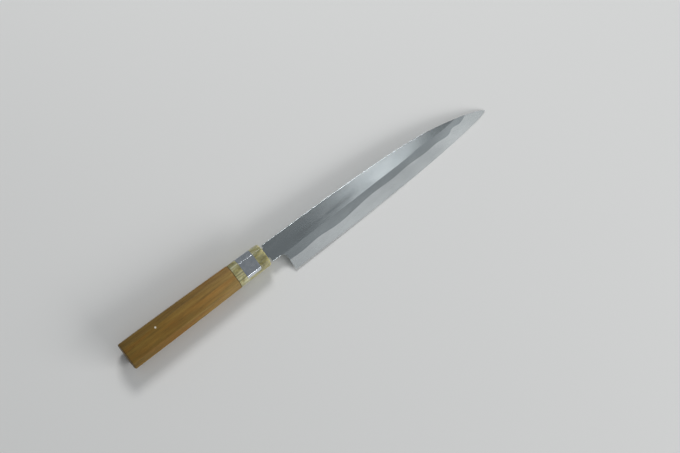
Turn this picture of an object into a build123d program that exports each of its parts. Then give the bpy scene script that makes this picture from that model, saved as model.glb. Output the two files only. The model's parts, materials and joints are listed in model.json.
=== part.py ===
from build123d import *
import os

os.makedirs("parts", exist_ok=True)

# A single-bevel slicing knife with an eight-sided wooden handle, in millimetres.
# It is drawn in the knife's own frame: X runs from the ferrule's front face to the tip,
# Y points to the spine and Z to the bevelled front. The handle's axis is the X axis.
# The last section lays the finished pieces on the surface that the knife rests on.

# Blade
blade_reach = 243.7          # ferrule's front face to the tip
edge_length = 228.1          # heel to tip, along X
heel_height = 34.75          # spine to edge at the heel
spine_above_axis = 7.45
neck_height = 17.1
choil_radius = 5.0           # inside corner between neck and heel
spine_thickness = 3.9        # at the neck
tip_thickness = 1.9          # of the flat, carried on to the tip
spine_easing = 0.35
neck_easing = 0.5
bevel_width = 18.0
edge_land = 0.12             # thickness left at the edge
hollow_depth = 0.35          # of the ground hollow in the back
hollow_rim = 2.2             # flat left round the hollow
hollow_fade_share = 0.125    # of its depth, at both ends of the hollow
steel_into_neck = 4.0        # hard steel behind the heel

# Tang
neck_gap = 2.4               # bare tang between the ferrule and the neck
tang_root = 2.4              # overlap of the tang with the neck
tang_length = 102.0          # behind the ferrule's front face
tang_height = 9.6
tang_end_height = 5.0
tang_thickness = 3.2
tang_clearance = 0.15

# Handle
handle_length = 146.0
ferrule_length = 33.0
butt_width = 25.0            # along Y
butt_thickness = 20.8        # along Z
front_width = 21.5
front_thickness = 17.8
facet_share = 0.205          # each corner facet's inset, as a share of the width
butt_easing = 0.6
ferrule_rounding = 2.0       # of the front face's edges
joint_easing = 0.15          # fine groove where wood and horn meet

# Core, seal and foil
core_radius = 6.8
core_clearance = 0.05
core_length = 46.0
ferrule_wall = 8.0           # horn in front of the core
seal_depth = 2.5
seal_margin = 1.5            # of the seal round the tang
foil_thickness = 0.12
foil_front = 9.9             # behind the ferrule's front face
foil_length = 14.8
foil_low = 8.6               # below the axis, on the edge side
foil_back = 2.0              # down the spine side's facet, below the axis
foil_corner = 3.0

overrun = 5.0                # of cutters past what they cut

# Stations along the edge: (along, spine's drop, edge's rise, bevel's width)
# as shares of edge_length, heel_height, heel_height and bevel_width.
station_shares = (
    (0.0, 0.001, 0.0, 0.965),
    (0.125, 0.009, 0.0, 0.985),
    (0.25, 0.020, 0.005, 1.0),
    (0.375, 0.041, 0.015, 1.0),
    (0.5, 0.068, 0.0345, 0.99),
    (0.625, 0.117, 0.062, 0.975),
    (0.75, 0.212, 0.108, 0.91),
    (0.85, 0.340, 0.162, 0.865),
    (0.925, 0.468, 0.217, 0.855),
    (0.97, 0.568, 0.268, 0.85),
    (1.0, 0.675, 0.325, 0.85),
)
# The bevel's cutter runs on past both ends of the edge.
overrun_share = overrun / edge_length
first_station = station_shares[0]
last_station = station_shares[-1]
bevel_shares = (
    (-overrun_share, 0, 0, first_station[3]),
    *station_shares,
    (1 + overrun_share, 0, 2 * last_station[2] - station_shares[-2][2], last_station[3]),
)
# The weld between iron and steel waves along the blade: (along, height over the back)
# as shares of edge_length and spine_thickness, where it comes out on the bevel.
weld_shares = (
    (0.0, 0.555), (0.072, 0.520), (0.129, 0.555), (0.226, 0.458), (0.290, 0.467),
    (0.358, 0.514), (0.424, 0.533), (0.472, 0.498), (0.521, 0.470), (0.565, 0.485),
    (0.613, 0.480), (0.666, 0.413), (0.705, 0.399), (0.754, 0.421), (0.793, 0.364),
    (0.820, 0.379), (0.838, 0.448), (0.856, 0.432), (0.878, 0.388), (0.903, 0.437),
    (0.930, 0.485), (1.0, 0.500), (1.04, 0.500),
)
weld_fall_share = 0.035      # the weld sinks this much for each unit towards the spine
weld_line_y = -16.0          # where the heights above are taken
edge_contact_share = 0.75    # place on the edge that touches the resting surface

back_z = -spine_thickness / 2
heel_x = blade_reach - edge_length
edge_y = spine_above_axis - heel_height
neck_low_y = spine_above_axis - neck_height


def along(share):
    """X at a share of the edge's length."""
    return heel_x + share * edge_length


def flat_z(x):
    """Z of the blade's flat front, which thins towards the tip."""
    return back_z + spine_thickness - (spine_thickness - tip_thickness) * x / blade_reach


def section_plane(x):
    """Plane across the knife, with Y and Z as its axes."""
    return Plane.YZ.offset(x)


def eight_sided(x, grow):
    """Corners of the handle's section at x, made larger by grow all round."""
    back_share = -x / handle_length
    half_y = (front_width + (butt_width - front_width) * back_share) / 2
    half_z = (front_thickness + (butt_thickness - front_thickness) * back_share) / 2
    inset = 2 * half_y * facet_share
    half_y += grow
    half_z += grow
    return [
        (half_y, half_z - inset), (half_y - inset, half_z),
        (inset - half_y, half_z), (-half_y, half_z - inset),
        (-half_y, inset - half_z), (inset - half_y, -half_z),
        (half_y - inset, -half_z), (half_y, inset - half_z),
    ]


def tang_outline(grow, front_x):
    """Plan of the tang from front_x back to its end."""
    half_end = tang_end_height / 2 + grow
    half_front = tang_height / 2 + grow
    end_x = -tang_length - grow
    return [(front_x, half_front), (front_x, -half_front), (end_x, -half_end), (end_x, half_end)]


spine_points = [(along(a), spine_above_axis - s * heel_height) for a, s, e, w in station_shares]
edge_points = [(along(a), edge_y + e * heel_height) for a, s, e, w in station_shares]
tip_point = edge_points[-1]

# The whole forged blade, before it is divided into its two metals
with BuildPart() as forged_blade:
    with BuildSketch(Plane.XY.offset(back_z)):
        with BuildLine():
            Spline((neck_gap, spine_above_axis), *spine_points[1:-1], tip_point)
            edge_line = Spline(*edge_points)
            Polyline(
                edge_points[0], (heel_x, neck_low_y),
                (neck_gap, neck_low_y), (neck_gap, spine_above_axis),
            )
        make_face()
    extrude(amount=spine_thickness)
    choil_edge = forged_blade.edges().filter_by(Axis.Z).sort_by_distance((heel_x, neck_low_y, 0))[0]
    fillet(choil_edge, choil_radius)
    # the flat front thins towards the tip
    with BuildSketch(Plane.XZ):
        with BuildLine():
            Polyline(
                (-overrun, flat_z(-overrun)), (blade_reach + overrun, flat_z(blade_reach + overrun)),
                (blade_reach + overrun, spine_thickness), (-overrun, spine_thickness), close=True,
            )
        make_face()
    extrude(amount=heel_height, both=True, mode=Mode.SUBTRACT)
    spine_side = forged_blade.faces().sort_by(Axis.Y)[-1]
    spine_edges = [e for e in spine_side.edges() if e.length > edge_length / 2]
    fillet(spine_edges, spine_easing)
    neck_side = forged_blade.faces().filter_by(Axis.Y).sort_by(Axis.Y)[0]
    fillet([e for e in neck_side.edges() if e.length > spine_thickness], neck_easing)
    # the wide bevel, from the edge up to the ridge
    for a, s, e, w in bevel_shares:
        width = w * bevel_width
        low_y = edge_y + e * heel_height
        low_z = back_z + edge_land
        rise = (flat_z(along(a)) - low_z) / width
        with BuildSketch(section_plane(along(a))):
            with BuildLine():
                Polyline(
                    (low_y - overrun, low_z - overrun * rise),
                    (low_y + 2 * width, low_z + 2 * width * rise),
                    (low_y + 2 * width, back_z + 3 * spine_thickness),
                    (low_y - overrun, back_z + 3 * spine_thickness), close=True,
                )
            make_face()
    loft(mode=Mode.SUBTRACT)
    # the shallow hollow ground into the back
    for a, s, e, w in station_shares[:-2]:
        first = a == station_shares[0][0]
        last = a == station_shares[-3][0]
        depth = hollow_depth * hollow_fade_share if first or last else hollow_depth
        x = along(a) + hollow_rim if first else along(a)
        low_y = edge_y + e * heel_height + hollow_rim
        high_y = spine_above_axis - s * heel_height - hollow_rim
        with BuildSketch(section_plane(x)):
            with BuildLine():
                ThreePointArc((low_y, back_z), ((low_y + high_y) / 2, back_z + depth), (high_y, back_z))
                Polyline(
                    (high_y, back_z), (high_y, back_z - overrun),
                    (low_y, back_z - overrun), (low_y, back_z),
                )
            make_face()
    loft(mode=Mode.SUBTRACT)

# The layer of hard steel under the weld
with BuildPart() as steel_layer:
    with BuildSketch(Plane.XZ.offset(-weld_line_y)):
        with BuildLine():
            weld_points = [(along(a), back_z + h * spine_thickness) for a, h in weld_shares]
            rear_top = (heel_x - steel_into_neck, weld_points[0][1])
            Spline(rear_top, *weld_points)
            Polyline(
                weld_points[-1], (weld_points[-1][0], back_z - overrun),
                (rear_top[0], back_z - overrun), rear_top,
            )
        make_face()
    extrude(amount=2 * heel_height, dir=(0, 1, -weld_fall_share))
    extrude(steel_layer.faces().sort_by(Axis.Y)[0], amount=heel_height)

with BuildPart() as hard_steel_edge:
    add(forged_blade.part)
    add(steel_layer.part, mode=Mode.INTERSECT)
hard_steel_edge.part.label = "hard_steel_edge"

# Soft iron: the blade over the weld, the neck and the tang
with BuildPart() as soft_iron_blade:
    add(forged_blade.part)
    add(steel_layer.part, mode=Mode.SUBTRACT)
    with BuildSketch(Plane.XY.offset(-tang_thickness / 2)):
        with BuildLine():
            Polyline(*tang_outline(0, neck_gap + tang_root), close=True)
        make_face()
    extrude(amount=tang_thickness)
soft_iron_blade.part.label = "soft_iron_blade"

# The slot that the tang passes through, with its clearance
with BuildPart() as tang_slot:
    with BuildSketch(Plane.XY.offset(-tang_thickness / 2 - tang_clearance)):
        with BuildLine():
            Polyline(*tang_outline(tang_clearance, overrun), close=True)
        make_face()
    extrude(amount=tang_thickness + 2 * tang_clearance)

# Horn ferrule, bored from behind for the core
with BuildPart() as horn_ferrule:
    for x in (-ferrule_length, 0):
        with BuildSketch(section_plane(x)):
            with BuildLine():
                Polyline(*eight_sided(x, 0), close=True)
            make_face()
    loft(ruled=True)
    front_face = horn_ferrule.faces().sort_by(Axis.X)[-1]
    back_face = horn_ferrule.faces().sort_by(Axis.X)[0]
    fillet(front_face.edges(), ferrule_rounding)
    chamfer(back_face.edges(), joint_easing)
    with BuildSketch(section_plane(-ferrule_length)):
        Circle(core_radius + core_clearance)
    extrude(amount=ferrule_length - ferrule_wall, mode=Mode.SUBTRACT)
    with BuildSketch(section_plane(-seal_depth)):
        Rectangle(tang_height + 2 * seal_margin, tang_thickness + 2 * seal_margin)
    extrude(amount=seal_depth, mode=Mode.SUBTRACT)
    add(tang_slot.part, mode=Mode.SUBTRACT)
horn_ferrule.part.label = "horn_ferrule"

# Resin that closes the ferrule's mouth round the tang
with BuildPart() as tang_seal:
    with BuildSketch(section_plane(-seal_depth)):
        Rectangle(tang_height + 2 * seal_margin, tang_thickness + 2 * seal_margin)
    extrude(amount=seal_depth)
    add(tang_slot.part, mode=Mode.SUBTRACT)
tang_seal.part.label = "tang_seal"

# Wooden handle, bored for the core and burnt out for the tang
core_back_x = -ferrule_wall - core_length
with BuildPart() as wooden_handle:
    for x in (-handle_length, -ferrule_length):
        with BuildSketch(section_plane(x)):
            with BuildLine():
                Polyline(*eight_sided(x, 0), close=True)
            make_face()
    loft(ruled=True)
    chamfer(wooden_handle.faces().sort_by(Axis.X)[0].edges(), butt_easing)
    chamfer(wooden_handle.faces().sort_by(Axis.X)[-1].edges(), joint_easing)
    with BuildSketch(section_plane(core_back_x)):
        Circle(core_radius + core_clearance)
    extrude(amount=-core_back_x - ferrule_length, mode=Mode.SUBTRACT)
    add(tang_slot.part, mode=Mode.SUBTRACT)
wooden_handle.part.label = "wooden_handle"

# Round wooden core that joins ferrule and handle, slotted for the tang
with BuildPart() as handle_core:
    with BuildSketch(section_plane(core_back_x)):
        Circle(core_radius)
    extrude(amount=core_length)
    add(tang_slot.part, mode=Mode.SUBTRACT)
handle_core.part.label = "handle_core"

# Blank foil wrapped over the ferrule's upper facets
with BuildPart() as foil_band:
    for x in (-foil_front - foil_length, -foil_front):
        with BuildSketch(section_plane(x)):
            with BuildLine():
                Polyline(*eight_sided(x, foil_thickness), close=True)
            make_face()
            with BuildLine():
                Polyline(*eight_sided(x, 0), close=True)
            make_face(mode=Mode.SUBTRACT)
    loft(ruled=True)
    with BuildSketch(Plane.XY.offset(-foil_back)):
        with BuildLine():
            top_y = front_width
            rear_x = -foil_front - foil_length
            FilletPolyline(
                (-foil_front, top_y), (-foil_front, -foil_low), (rear_x, -foil_low), (rear_x, top_y),
                radius=foil_corner,
            )
            Line((rear_x, top_y), (-foil_front, top_y))
        make_face()
    extrude(amount=butt_thickness, mode=Mode.INTERSECT)
foil_band.part.label = "foil_band"

# The knife lies rolled on to its edge: it touches the surface at the corner behind the
# ferrule's rounded front and at one place on the edge, where the surface is tangent to it.
ferrule_corner = Vector(-ferrule_rounding, *eight_sided(-ferrule_rounding, 0)[5])
edge_touch = edge_line.position_at(edge_contact_share) + Vector(0, 0, back_z)
edge_run = edge_line.tangent_at(edge_contact_share)
surface_up = edge_run.cross(ferrule_corner - edge_touch)
surface = Plane(origin=edge_touch, x_dir=(1, 0, 0), z_dir=surface_up)
pieces = (
    soft_iron_blade, hard_steel_edge, horn_ferrule, tang_seal,
    wooden_handle, handle_core, foil_band,
)
for piece in pieces:
    piece.part.move(surface.location.inverse())
box = soft_iron_blade.part.bounding_box()
for piece in pieces:
    box = box.add(piece.part.bounding_box())
box_centre = box.center()
for piece in pieces:
    piece.part.move(Location((-box_centre.X, -box_centre.Y, -box.min.Z)))
    export_step(piece.part, f"parts/{piece.part.label}.step")
print("lies", box.size, "centre", box_centre)
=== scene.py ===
import json
import math

import bpy
from mathutils import Matrix, Vector


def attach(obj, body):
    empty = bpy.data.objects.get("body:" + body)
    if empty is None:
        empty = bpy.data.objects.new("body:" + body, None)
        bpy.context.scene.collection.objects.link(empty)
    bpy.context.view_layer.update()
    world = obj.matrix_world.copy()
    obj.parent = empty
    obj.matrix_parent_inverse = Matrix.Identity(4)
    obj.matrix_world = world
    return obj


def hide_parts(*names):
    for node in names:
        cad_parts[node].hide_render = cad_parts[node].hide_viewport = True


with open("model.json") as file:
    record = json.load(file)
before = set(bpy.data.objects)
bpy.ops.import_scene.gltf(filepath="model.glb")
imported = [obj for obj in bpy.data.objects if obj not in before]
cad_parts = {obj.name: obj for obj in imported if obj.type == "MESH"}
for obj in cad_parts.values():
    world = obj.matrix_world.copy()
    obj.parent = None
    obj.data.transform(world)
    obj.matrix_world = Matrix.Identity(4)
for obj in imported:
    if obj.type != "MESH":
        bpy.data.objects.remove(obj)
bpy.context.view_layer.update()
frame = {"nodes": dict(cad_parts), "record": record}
mm = 0.001
print("frame loaded")

scene = bpy.context.scene
scene.view_settings.view_transform = "Standard"


# Handle and ferrule along the knife's own X, from the butt at -length to the ferrule's face at 0
handle = {
    "length": 146.0 * mm,
    "ferruleLength": 33.0 * mm,
    "buttWidth": 25.0 * mm,
    "buttThickness": 20.8 * mm,
    "frontWidth": 21.5 * mm,
    "frontThickness": 17.8 * mm,
    "facetShare": 0.205,          # of the butt's width, taken off each corner
    "swell": 0.0225,              # share that the sides stand proud of a straight taper
    "swellMiddle": 88.0 * mm,
    "swellReach": 62.0 * mm,
    "stations": 12,
    "edgeRound": 0.50 * mm,
    "ferruleEdgeRound": 1.20 * mm,
    "edgeSteps": 4,
    "edgeAngle": math.radians(30.0),
    "buttRound": 1.0 * mm,
    "buttSteps": 4,
    "frontRound": 2.0 * mm,
    "frontSteps": 6,
    "jointRound": 0.22 * mm,
    "jointSteps": 2,
    "smoothAngle": math.radians(32.0),
}
jointShare = 1.0 - handle["ferruleLength"] / handle["length"]


# The knife's own axes, read from its mounts: towards the tip, the spine and the front
mounts = {mount["name"]: mount for mount in frame["record"]["mounts"]}
towardsTip = -Vector(mounts["butt_face"]["axis"])
frontNormal = Vector(mounts["blade_flat"]["axis"])
frontUp = (frontNormal - towardsTip * frontNormal.dot(towardsTip)).normalized()
towardsSpine = frontUp.cross(towardsTip)
ferruleFront = Vector(mounts["butt_face"]["pos_m"]) + towardsTip * handle["length"]
knifeAxes = Matrix((towardsTip, towardsSpine, frontUp)).transposed()
knifeToFrame = Matrix.Translation(ferruleFront) @ knifeAxes.to_4x4()
frameToKnife = knifeToFrame.inverted()


# Camera, at the photograph's viewing angle on the knife
view = {
    "lookAt": Vector((21.5, -13.05, 0.0)) * mm,
    "distance": 1174.5 * mm,
    "azimuth": math.radians(57.2),
    "elevation": math.radians(74.76),
    "roll": math.radians(19.04),
    "focalPixels": 1332.7,
    "imageWidth": 680.0,
    "sensor": 36.0,
    "clipStart": 10.0 * mm,
}


def addCamera():
    flat = math.cos(view["elevation"])
    forward = Vector((
        math.sin(view["azimuth"]) * flat,
        math.cos(view["azimuth"]) * flat,
        -math.sin(view["elevation"]),
    ))
    level = Vector((math.cos(view["azimuth"]), -math.sin(view["azimuth"]), 0.0))
    upward = level.cross(forward)
    right = level * math.cos(view["roll"]) + upward * math.sin(view["roll"])
    upward = upward * math.cos(view["roll"]) - level * math.sin(view["roll"])
    bpy.ops.object.camera_add()
    camera = bpy.context.object
    camera.name = "photoCamera"
    turn = Matrix((right, upward, -forward)).transposed().to_4x4()
    camera.matrix_world = Matrix.Translation(view["lookAt"] - forward * view["distance"]) @ turn
    camera.data.sensor_width = view["sensor"]
    camera.data.lens = view["focalPixels"] / view["imageWidth"] * view["sensor"]
    camera.data.clip_start = view["clipStart"]
    scene.camera = camera
    print("camera placed")


# Small helpers for materials
def newMaterial(name):
    material = bpy.data.materials.new(name)
    material.use_nodes = True
    nodes = material.node_tree.nodes
    nodes.clear()
    shader = nodes.new("ShaderNodeBsdfPrincipled")
    output = nodes.new("ShaderNodeOutputMaterial")
    material.node_tree.links.new(shader.outputs["BSDF"], output.inputs["Surface"])
    return material, material.node_tree, shader


def knifeCoordinates(tree):
    # object coordinates turned into the knife's own axes, in metres
    coordinates = tree.nodes.new("ShaderNodeTexCoord")
    turned = tree.nodes.new("ShaderNodeMapping")
    turned.inputs["Rotation"].default_value = frameToKnife.to_euler()
    turned.inputs["Location"].default_value = frameToKnife.translation
    tree.links.new(coordinates.outputs["Object"], turned.inputs["Vector"])
    return turned.outputs["Vector"]


def noise(tree, vector, scale, detail=4.0, roughness=0.55, distortion=0.0):
    # scale holds the changes per metre along, across and through the knife
    mapping = tree.nodes.new("ShaderNodeMapping")
    mapping.inputs["Scale"].default_value = scale
    tree.links.new(vector, mapping.inputs["Vector"])
    texture = tree.nodes.new("ShaderNodeTexNoise")
    texture.inputs["Scale"].default_value = 1.0
    texture.inputs["Detail"].default_value = detail
    texture.inputs["Roughness"].default_value = roughness
    texture.inputs["Distortion"].default_value = distortion
    tree.links.new(mapping.outputs["Vector"], texture.inputs["Vector"])
    return texture.outputs["Fac"]


def ramp(tree, value, stops):
    node = tree.nodes.new("ShaderNodeValToRGB")
    elements = node.color_ramp.elements
    elements[0].position, elements[0].color = stops[0][0], (*stops[0][1], 1.0)
    elements[1].position, elements[1].color = stops[-1][0], (*stops[-1][1], 1.0)
    for place, colour in stops[1:-1]:
        elements.new(place).color = (*colour, 1.0)
    tree.links.new(value, node.inputs["Fac"])
    return node.outputs["Color"]


def grey(value):
    return (value, value, value)


def mixed(tree, factor, first, second, blend="MIX"):
    node = tree.nodes.new("ShaderNodeMix")
    node.data_type = "RGBA"
    node.blend_type = blend
    if isinstance(factor, float):
        node.inputs["Factor"].default_value = factor
    else:
        tree.links.new(factor, node.inputs["Factor"])
    for name, colour in (("A", first), ("B", second)):
        socket = [s for s in node.inputs if s.name == name and s.type == "RGBA"][0]
        if isinstance(colour, tuple):
            socket.default_value = (*colour, 1.0)
        else:
            tree.links.new(colour, socket)
    return [s for s in node.outputs if s.type == "RGBA"][0]


def multiplyAdd(tree, value, factor, addend):
    node = tree.nodes.new("ShaderNodeMath")
    node.operation = "MULTIPLY_ADD"
    tree.links.new(value, node.inputs[0])
    node.inputs[1].default_value = factor
    node.inputs[2].default_value = addend
    return node.outputs["Value"]


def shareFromButt(tree, knife):
    # 0 at the butt, 1 at the ferrule's front face
    node = tree.nodes.new("ShaderNodeSeparateXYZ")
    tree.links.new(knife, node.inputs["Vector"])
    return multiplyAdd(tree, node.outputs["X"], 1.0 / handle["length"], 1.0)


def bumpFrom(tree, shader, height, distance, strength):
    node = tree.nodes.new("ShaderNodeBump")
    node.inputs["Distance"].default_value = distance
    node.inputs["Strength"].default_value = strength
    tree.links.new(height, node.inputs["Height"])
    tree.links.new(node.outputs["Normal"], shader.inputs["Normal"])


# Wood of the handle: fine lengthwise grain, short pores, paler towards the ferrule
wood = {
    # from the butt to the ferrule, with a dark line of glue at the joint
    "tones": [
        (0.00, (0.168, 0.101, 0.020)),
        (0.27, (0.200, 0.118, 0.024)),
        (0.50, (0.238, 0.145, 0.037)),
        (0.74, (0.288, 0.188, 0.062)),
        (jointShare - 0.0028, (0.275, 0.178, 0.058)),
        (jointShare - 0.0002, (0.055, 0.036, 0.016)),
    ],
    "grain": {"scale": (24.0, 430.0, 430.0), "detail": 7.0, "roughness": 0.68, "distortion": 0.25},
    "grainShades": [(0.32, grey(0.74)), (0.50, grey(1.0)), (0.68, grey(1.24))],
    "mottle": {"scale": (16.0, 150.0, 150.0), "distortion": 0.6},
    "mottleShades": [(0.46, grey(1.0)), (0.66, (1.10, 0.91, 0.78))],
    "pores": {"scale": (150.0, 3600.0, 3600.0), "detail": 2.0, "roughness": 0.5},
    "poreShades": [(0.60, grey(1.0)), (0.72, grey(0.55))],
    "roughness": [(0.3, grey(0.56)), (0.7, grey(0.44))],
    "specular": 0.2,
    "grainDepth": 0.08 * mm,
    "grainStrength": 0.7,
    "paleSpot": (-0.1130, 0.0060, 0.0099),
    "paleSpotSize": 1.1 * mm,
    "paleSpotShades": [(0.0, grey(0.0)), (0.35, grey(1.0))],
    "paleSpotColour": (0.72, 0.68, 0.58),
}


def woodMaterial():
    material, tree, shader = newMaterial("handleWood")
    knife = knifeCoordinates(tree)
    grain = noise(tree, knife, **wood["grain"])
    mottle = noise(tree, knife, **wood["mottle"])
    pores = noise(tree, knife, **wood["pores"])
    poreShades = ramp(tree, pores, wood["poreShades"])
    tone = ramp(tree, shareFromButt(tree, knife), wood["tones"])
    tone = mixed(tree, 1.0, tone, ramp(tree, grain, wood["grainShades"]), "MULTIPLY")
    tone = mixed(tree, 1.0, tone, ramp(tree, mottle, wood["mottleShades"]), "MULTIPLY")
    tone = mixed(tree, 1.0, tone, poreShades, "MULTIPLY")
    # one small pale spot on the upper facet
    paleSpotAway = tree.nodes.new("ShaderNodeVectorMath")
    paleSpotAway.operation = "DISTANCE"
    paleSpotAway.inputs[1].default_value = wood["paleSpot"]
    tree.links.new(knife, paleSpotAway.inputs[0])
    paleSpotShare = multiplyAdd(tree, paleSpotAway.outputs["Value"], -1.0 / wood["paleSpotSize"], 1.0)
    tone = mixed(tree, ramp(tree, paleSpotShare, wood["paleSpotShades"]), tone, wood["paleSpotColour"])
    tree.links.new(tone, shader.inputs["Base Color"])
    tree.links.new(ramp(tree, grain, wood["roughness"]), shader.inputs["Roughness"])
    shader.inputs["Specular IOR Level"].default_value = wood["specular"]
    relief = mixed(tree, 0.5, grain, poreShades, "MULTIPLY")
    bumpFrom(tree, shader, relief, wood["grainDepth"], wood["grainStrength"])
    return material


# Polished pale horn: cloudy olive and straw streaks under a clear surface
horn = {
    "cloud": {"scale": (60.0, 130.0, 130.0), "detail": 5.0, "roughness": 0.6, "distortion": 0.8},
    "tones": [(0.34, (0.165, 0.138, 0.044)), (0.50, (0.430, 0.388, 0.165)), (0.66, (0.690, 0.665, 0.430))],
    "streak": {"scale": (30.0, 640.0, 640.0), "roughness": 0.6, "distortion": 0.2},
    "streakShares": [(0.44, grey(0.0)), (0.62, grey(0.75))],
    "streakColour": (0.215, 0.215, 0.120),
    # dark glue at the wood, and painted light in front: the rim is brightened for the glow where light
    # shines through the thin horn
    "ends": [
        (jointShare + 0.0001, grey(0.30)),
        (jointShare + 0.0022, grey(1.0)),
        (0.975, grey(1.0)),
        (1.0, grey(1.35)),
    ],
    "roughness": 0.24,
    "glow": 0.25,
    "glowReach": (0.004, 0.003, 0.0012),
    "glowScale": 0.5,
    "polish": 0.7,
    "polishRoughness": 0.12,
    "streakDepth": 0.02 * mm,
    "streakStrength": 0.4,
}


def hornMaterial():
    material, tree, shader = newMaterial("paleHorn")
    knife = knifeCoordinates(tree)
    cloud = noise(tree, knife, **horn["cloud"])
    streak = noise(tree, knife, **horn["streak"])
    tone = ramp(tree, cloud, horn["tones"])
    tone = mixed(tree, ramp(tree, streak, horn["streakShares"]), tone, horn["streakColour"])
    # dark glue at the joint, and a painted glow brightening the rim in front
    tone = mixed(tree, 1.0, tone, ramp(tree, shareFromButt(tree, knife), horn["ends"]), "MULTIPLY")
    tree.links.new(tone, shader.inputs["Base Color"])
    shader.inputs["Roughness"].default_value = horn["roughness"]
    shader.inputs["Subsurface Weight"].default_value = horn["glow"]
    shader.inputs["Subsurface Radius"].default_value = horn["glowReach"]
    shader.inputs["Subsurface Scale"].default_value = horn["glowScale"]
    shader.inputs["Coat Weight"].default_value = horn["polish"]
    shader.inputs["Coat Roughness"].default_value = horn["polishRoughness"]
    bumpFrom(tree, shader, streak, horn["streakDepth"], horn["streakStrength"])
    return material


# The two steels of the blade, and the grinding that both show
iron = {
    "colour": (0.475, 0.515, 0.530),
    "haze": (0.435, 0.475, 0.490),
    "roughness": [(0.3, grey(0.17)), (0.7, grey(0.185))],
}
steel = {
    "colour": (0.775, 0.810, 0.815),
    "haze": (0.705, 0.740, 0.745),
    "roughness": [(0.3, grey(0.20)), (0.7, grey(0.22))],
}
grinding = {
    "lines": {"scale": (30.0, 5200.0, 5200.0), "detail": 3.0, "roughness": 0.6},
    "cloud": {"scale": (38.0, 90.0, 90.0)},
    "cloudShares": [(0.35, grey(0.0)), (0.65, grey(1.0))],
    "speck": {"scale": (900.0, 900.0, 900.0), "detail": 2.0, "roughness": 0.6},
    "speckShares": [(0.55, grey(0.0)), (0.75, grey(0.35))],
    "anisotropy": 0.4,
    "lineDepth": 0.004 * mm,
    "lineStrength": 0.5,
}


def bladeMaterial(name, metal):
    material, tree, shader = newMaterial(name)
    knife = knifeCoordinates(tree)
    lines = noise(tree, knife, **grinding["lines"])
    cloud = noise(tree, knife, **grinding["cloud"])
    speck = noise(tree, knife, **grinding["speck"])
    tone = mixed(tree, ramp(tree, cloud, grinding["cloudShares"]), metal["colour"], metal["haze"])
    tone = mixed(tree, ramp(tree, speck, grinding["speckShares"]), tone, metal["haze"])
    tree.links.new(tone, shader.inputs["Base Color"])
    shader.inputs["Metallic"].default_value = 1.0
    tree.links.new(ramp(tree, cloud, metal["roughness"]), shader.inputs["Roughness"])
    shader.inputs["Anisotropic"].default_value = grinding["anisotropy"]
    bumpFrom(tree, shader, lines, grinding["lineDepth"], grinding["lineStrength"])
    return material


resin = {
    "lumps": {"scale": (500.0, 500.0, 500.0), "detail": 3.0, "roughness": 0.5},
    "tones": [(0.3, (0.030, 0.022, 0.010)), (0.7, (0.085, 0.066, 0.030))],
    "roughness": 0.45,
    "lumpDepth": 0.2 * mm,
    "lumpStrength": 0.6,
}


def resinMaterial():
    material, tree, shader = newMaterial("darkResin")
    lumps = noise(tree, knifeCoordinates(tree), **resin["lumps"])
    tree.links.new(ramp(tree, lumps, resin["tones"]), shader.inputs["Base Color"])
    shader.inputs["Roughness"].default_value = resin["roughness"]
    bumpFrom(tree, shader, lumps, resin["lumpDepth"], resin["lumpStrength"])
    return material


core = {
    "grain": {"scale": (20.0, 700.0, 700.0), "roughness": 0.6},
    "tones": [(0.3, (0.33, 0.22, 0.10)), (0.7, (0.50, 0.36, 0.19))],
    "roughness": 0.7,
    "grainDepth": 0.05 * mm,
    "grainStrength": 0.6,
}


def coreMaterial():
    material, tree, shader = newMaterial("coreWood")
    grain = noise(tree, knifeCoordinates(tree), **core["grain"])
    tree.links.new(ramp(tree, grain, core["tones"]), shader.inputs["Base Color"])
    shader.inputs["Roughness"].default_value = core["roughness"]
    bumpFrom(tree, shader, grain, core["grainDepth"], core["grainStrength"])
    return material


silver = {
    "creases": {"scale": (230.0, 260.0, 260.0), "detail": 5.0, "roughness": 0.65, "distortion": 0.6},
    "tones": [(0.3, (0.56, 0.60, 0.65)), (0.7, (0.68, 0.71, 0.75))],
    "roughness": [(0.3, grey(0.14)), (0.7, grey(0.22))],
    "creaseDepth": 0.05 * mm,
    "creaseStrength": 0.5,
}


def foilMaterial():
    material, tree, shader = newMaterial("silverFoil")
    creases = noise(tree, knifeCoordinates(tree), **silver["creases"])
    tree.links.new(ramp(tree, creases, silver["tones"]), shader.inputs["Base Color"])
    shader.inputs["Metallic"].default_value = 1.0
    tree.links.new(ramp(tree, creases, silver["roughness"]), shader.inputs["Roughness"])
    bumpFrom(tree, shader, creases, silver["creaseDepth"], silver["creaseStrength"])
    return material


# Helpers for modelling in the knife's own axes
near = 0.05 * mm            # points closer to a plane than this lie on it
mergeReach = 0.002 * mm


def activate(obj):
    bpy.ops.object.select_all(action="DESELECT")
    obj.select_set(True)
    bpy.context.view_layer.objects.active = obj


def selectNothing(kind):
    bpy.ops.object.mode_set(mode="EDIT")
    bpy.ops.mesh.select_mode(type=kind)
    bpy.ops.mesh.select_all(action="DESELECT")
    bpy.ops.object.mode_set(mode="OBJECT")


def pickEdges(obj, wanted):
    selectNothing("EDGE")
    points = obj.data.vertices
    for edge in obj.data.edges:
        edge.select = wanted(points[edge.vertices[0]].co, points[edge.vertices[1]].co)
    bpy.ops.object.mode_set(mode="EDIT")


def pickPoints(obj, wanted):
    selectNothing("VERT")
    for point in obj.data.vertices:
        point.select = wanted(point.co)
    bpy.ops.object.mode_set(mode="EDIT")


def cutAcross(obj, x, clearBack=False, clearFront=False):
    activate(obj)
    bpy.ops.object.mode_set(mode="EDIT")
    bpy.ops.mesh.select_all(action="SELECT")
    bpy.ops.mesh.bisect(
        plane_co=(x, 0.0, 0.0), plane_no=(1.0, 0.0, 0.0),
        use_fill=clearBack or clearFront, clear_inner=clearBack, clear_outer=clearFront,
    )
    bpy.ops.object.mode_set(mode="OBJECT")


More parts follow.
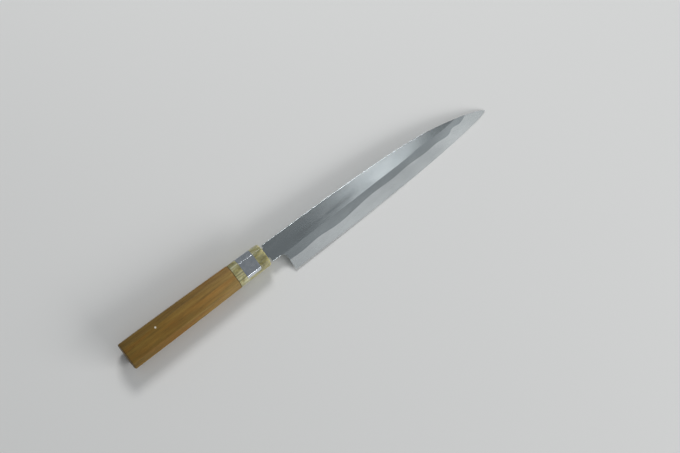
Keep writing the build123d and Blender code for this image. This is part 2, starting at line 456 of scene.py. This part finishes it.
def swellAt(x):
    # how much wider than a straight taper the handle is at x, as a factor
    away = (x + handle["swellMiddle"]) / handle["swellReach"]
    return 1.0 + handle["swell"] * max(0.0, 1.0 - away * away)


def makeHandleBlank(name):
    # the whole eight-sided handle, from which the body and the ferrule are both cut
    bpy.ops.object.select_all(action="DESELECT")
    bpy.ops.mesh.primitive_cube_add(size=1.0)
    blank = bpy.context.object
    blank.name = name
    length, width, thickness = handle["length"], handle["buttWidth"], handle["buttThickness"]
    bpy.ops.object.mode_set(mode="EDIT")
    bpy.ops.transform.resize(value=(length, width, thickness), center_override=(0.0, 0.0, 0.0))
    bpy.ops.transform.translate(value=(-length / 2, 0.0, 0.0))
    pickEdges(blank, lambda a, b: abs(a.x - b.x) > length / 2)
    bpy.ops.mesh.bevel(offset=width * handle["facetShare"], offset_type="OFFSET", segments=1)
    pickPoints(blank, lambda p: p.x > -length / 2)
    bpy.ops.transform.resize(
        value=(1.0, handle["frontWidth"] / width, handle["frontThickness"] / thickness),
        center_override=(0.0, 0.0, 0.0),
    )
    bpy.ops.object.mode_set(mode="OBJECT")
    stations = [-length * number / handle["stations"] for number in range(1, handle["stations"])]
    for x in stations:
        cutAcross(blank, x)
    for x in stations:
        pickPoints(blank, lambda p: abs(p.x - x) < near)
        bpy.ops.transform.resize(value=(1.0, swellAt(x), swellAt(x)), center_override=(0.0, 0.0, 0.0))
    bpy.ops.object.mode_set(mode="OBJECT")
    return blank


def roundEnd(obj, x, width, steps):
    # rounds the edges that lie in the cross plane at x
    pickEdges(obj, lambda a, b: abs(a.x - x) < near and abs(b.x - x) < near)
    bpy.ops.mesh.bevel(offset=width, offset_type="OFFSET", segments=steps, profile=0.5)
    bpy.ops.object.mode_set(mode="OBJECT")


def roundLongEdges(obj, width):
    activate(obj)
    bevel = obj.modifiers.new("facetEdges", "BEVEL")
    bevel.width = width
    bevel.segments = handle["edgeSteps"]
    bevel.limit_method = "ANGLE"
    bevel.angle_limit = handle["edgeAngle"]
    bpy.ops.object.modifier_apply(modifier="facetEdges")


def smoothShade(obj, angle):
    activate(obj)
    bpy.ops.object.shade_smooth_by_angle(angle=angle)


def tidyNormals(obj):
    activate(obj)
    bpy.ops.object.mode_set(mode="EDIT")
    bpy.ops.mesh.select_all(action="SELECT")
    bpy.ops.mesh.remove_doubles(threshold=mergeReach)
    bpy.ops.mesh.normals_make_consistent(inside=False)
    bpy.ops.object.mode_set(mode="OBJECT")


def intoFrame(obj):
    # the mesh is turned from the knife's axes into the frame, and the object stays at the origin
    activate(obj)
    obj.matrix_world = knifeToFrame
    bpy.ops.object.transform_apply(location=True, rotation=True, scale=True)


def finishPiece(obj, material, node):
    obj.data.materials.clear()
    obj.data.materials.append(material)
    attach(obj, "root")
    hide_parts(node)


def makeWoodenHandle(material):
    piece = makeHandleBlank("handleBody")
    cutAcross(piece, -handle["ferruleLength"], clearFront=True)
    roundEnd(piece, -handle["length"], handle["buttRound"], handle["buttSteps"])
    roundEnd(piece, -handle["ferruleLength"], handle["jointRound"], handle["jointSteps"])
    roundLongEdges(piece, handle["edgeRound"])
    tidyNormals(piece)
    smoothShade(piece, handle["smoothAngle"])
    intoFrame(piece)
    finishPiece(piece, material, "wooden_handle")
    print("handle body made")


def makeFerruleBody():
    piece = makeHandleBlank("hornFerrule")
    cutAcross(piece, -handle["ferruleLength"], clearBack=True)
    roundEnd(piece, 0.0, handle["frontRound"], handle["frontSteps"])
    roundEnd(piece, -handle["ferruleLength"], handle["jointRound"], handle["jointSteps"])
    roundLongEdges(piece, handle["ferruleEdgeRound"])
    tidyNormals(piece)
    return piece


mouth = {"height": 12.6 * mm, "thickness": 6.2 * mm, "depth": 2.5 * mm}


def boreMouth(piece):
    # the recess round the tang, which the resin fills
    bpy.ops.object.select_all(action="DESELECT")
    bpy.ops.mesh.primitive_cube_add(size=1.0)
    cutter = bpy.context.object
    size = (2 * mouth["depth"], mouth["height"], mouth["thickness"])
    bpy.ops.object.mode_set(mode="EDIT")
    bpy.ops.transform.resize(value=size, center_override=(0.0, 0.0, 0.0))
    bpy.ops.object.mode_set(mode="OBJECT")
    activate(piece)
    cut = piece.modifiers.new("mouth", "BOOLEAN")
    cut.object = cutter
    cut.operation = "DIFFERENCE"
    cut.solver = "EXACT"
    bpy.ops.object.modifier_apply(modifier="mouth")
    bpy.data.objects.remove(cutter)


def finishFerrule(piece, material):
    boreMouth(piece)
    tidyNormals(piece)
    smoothShade(piece, handle["smoothAngle"])
    intoFrame(piece)
    finishPiece(piece, material, "horn_ferrule")
    print("ferrule made")


foil = {
    "front": 9.9 * mm,            # behind the ferrule's face
    "length": 14.8 * mm,
    "low": 8.6 * mm,              # below the handle's middle, on the edge side
    "back": 2.0 * mm,             # down the spine side, past the middle
    "corner": 3.0 * mm,
    "cornerSteps": 6,
    "lift": 0.04 * mm,
    "thickness": 0.10 * mm,
    "endFacing": 0.9,             # faces that look along the handle more than this are ends
    "smoothAngle": math.radians(50.0),
}


def foilCorner(point):
    # true for the two corners at the foil's low end
    fromFront = -foil["front"] - point.x
    atSide = abs(fromFront) < near or abs(fromFront - foil["length"]) < near
    return atSide and point.y < -foil["low"] + near


def makeFoil(ferrule, material):
    # a band of the ferrule's own skin, lifted off it and given the foil's thickness
    activate(ferrule)
    bpy.ops.object.duplicate()
    band = bpy.context.object
    band.name = "foilBand"
    cutAcross(band, -foil["front"], clearFront=True)
    cutAcross(band, -foil["front"] - foil["length"], clearBack=True)
    selectNothing("FACE")
    for face in band.data.polygons:
        face.select = abs(face.normal.x) > foil["endFacing"]
    bpy.ops.object.mode_set(mode="EDIT")
    bpy.ops.mesh.delete(type="FACE")
    bpy.ops.mesh.select_all(action="SELECT")
    bpy.ops.mesh.bisect(plane_co=(0.0, -foil["low"], 0.0), plane_no=(0.0, 1.0, 0.0), clear_inner=True)
    bpy.ops.mesh.select_all(action="SELECT")
    bpy.ops.mesh.bisect(plane_co=(0.0, 0.0, -foil["back"]), plane_no=(0.0, 0.0, 1.0), clear_inner=True)
    bpy.ops.object.mode_set(mode="OBJECT")
    pickPoints(band, foilCorner)
    bpy.ops.mesh.bevel(offset=foil["corner"], segments=foil["cornerSteps"], affect="VERTICES")
    bpy.ops.mesh.select_all(action="SELECT")
    bpy.ops.transform.shrink_fatten(value=foil["lift"])
    bpy.ops.object.mode_set(mode="OBJECT")
    activate(band)
    skin = band.modifiers.new("thickness", "SOLIDIFY")
    skin.thickness = foil["thickness"]
    skin.offset = 1.0
    bpy.ops.object.modifier_apply(modifier="thickness")
    smoothShade(band, foil["smoothAngle"])
    intoFrame(band)
    finishPiece(band, material, "foil_band")
    print("foil band made")


blade = {
    "mergeReach": 0.001 * mm,
    "crease": math.radians(1.0),             # a turn above this stays crisp
    "roundingCrease": math.radians(40.0),    # and above this on the spine's rounding
    "roundingLean": 0.05,                    # least lean of the rounding to spine and side
    "roundingTipLean": 0.8,                  # most lean of the rounding to tip or heel
}


def onSpineRounding(normal):
    return (
        normal.dot(towardsSpine) > blade["roundingLean"]
        and abs(normal.dot(frontUp)) > blade["roundingLean"]
        and abs(normal.dot(towardsTip)) < blade["roundingTipLean"]
    )


def findCreases(mesh):
    normalsOf = {}
    for face in mesh.polygons:
        for key in face.edge_keys:
            normalsOf.setdefault(key, []).append(face.normal)
    creases = set()
    for key, normals in normalsOf.items():
        turn = normals[0].angle(normals[1], 0.0) if len(normals) == 2 else math.pi
        limit = blade["roundingCrease"] if all(map(onSpineRounding, normals)) else blade["crease"]
        if turn > limit:
            creases.add(key)
    return creases


def makeBladePiece(nodeName, pieceName, material):
    # the CAD mesh, merged and shaded so that the spine's rounding is smooth and the ridge crisp
    piece = bpy.data.objects.new(pieceName, frame["nodes"][nodeName].data.copy())
    scene.collection.objects.link(piece)
    activate(piece)
    bpy.ops.mesh.customdata_custom_splitnormals_clear()
    bpy.ops.object.mode_set(mode="EDIT")
    bpy.ops.mesh.select_all(action="SELECT")
    bpy.ops.mesh.remove_doubles(threshold=blade["mergeReach"])
    bpy.ops.object.mode_set(mode="OBJECT")
    bpy.ops.object.shade_smooth()
    creases = findCreases(piece.data)
    selectNothing("EDGE")
    for edge in piece.data.edges:
        edge.select = edge.key in creases
    bpy.ops.object.mode_set(mode="EDIT")
    bpy.ops.mesh.mark_sharp()
    bpy.ops.object.mode_set(mode="OBJECT")
    finishPiece(piece, material, nodeName)
    print(pieceName, "made")


def dressNodes():
    # the resin and the core keep their own solids
    finishes = {"tang_seal": resinMaterial(), "handle_core": coreMaterial()}
    for name, material in finishes.items():
        for place in frame["nodes"][name].material_slots:
            place.material = material
    print("resin and core dressed")


# Floor, lights and surroundings
studio = {
    "floor": (0.80, 0.80, 0.79),
    "floorRoughness": 0.7,
    "floorSize": 12.0,
    "airColour": (0.93, 0.97, 1.0),
    "airStrength": 0.26,
    # name: (direction from the knife, distance, width and height, power)
    "lamps": {
        "keySoftbox": ((0.30, 0.63, 0.72), 1.80, (0.60, 0.45), 13.0),
        "frontSoftbox": ((0.38, -0.85, 0.38), 2.50, (2.20, 0.84), 40.0),
        "bevelPanel": ((0.39, -0.61, 0.69), 1.50, (0.54, 0.36), 0.34),
        "flatSoftbox": ((0.310, -0.268, 0.911), 0.85, (0.11, 0.11), 0.056),
    },
    "lampTarget": (0.09, 0.006, 0.008),
}


def addFloor():
    bpy.ops.mesh.primitive_plane_add(size=studio["floorSize"])
    floor = bpy.context.object
    floor.name = "studioFloor"
    material, _, shader = newMaterial("paleFloor")
    shader.inputs["Base Color"].default_value = (*studio["floor"], 1.0)
    shader.inputs["Roughness"].default_value = studio["floorRoughness"]
    floor.data.materials.append(material)


def addLights():
    world = bpy.data.worlds.new("studioAir")
    scene.world = world
    world.use_nodes = True
    backdrop = world.node_tree.nodes["Background"]
    backdrop.inputs["Color"].default_value = (*studio["airColour"], 1.0)
    backdrop.inputs["Strength"].default_value = studio["airStrength"]
    target = Vector(studio["lampTarget"])
    for name, (direction, distance, size, power) in studio["lamps"].items():
        away = Vector(direction).normalized()
        bpy.ops.object.light_add(type="AREA", location=target + away * distance)
        lamp = bpy.context.object
        lamp.name = name
        lamp.data.shape = "RECTANGLE"
        lamp.data.size, lamp.data.size_y = size
        lamp.data.energy = power
        lamp.rotation_euler = (-away).to_track_quat("-Z", "Y").to_euler()
    print("lights placed")


addCamera()
addFloor()
addLights()
makeWoodenHandle(woodMaterial())
ferrule = makeFerruleBody()
makeFoil(ferrule, foilMaterial())
finishFerrule(ferrule, hornMaterial())
makeBladePiece("soft_iron_blade", "softIronBlade", bladeMaterial("softIron", iron))
makeBladePiece("hard_steel_edge", "hardSteelEdge", bladeMaterial("hardSteel", steel))
dressNodes()
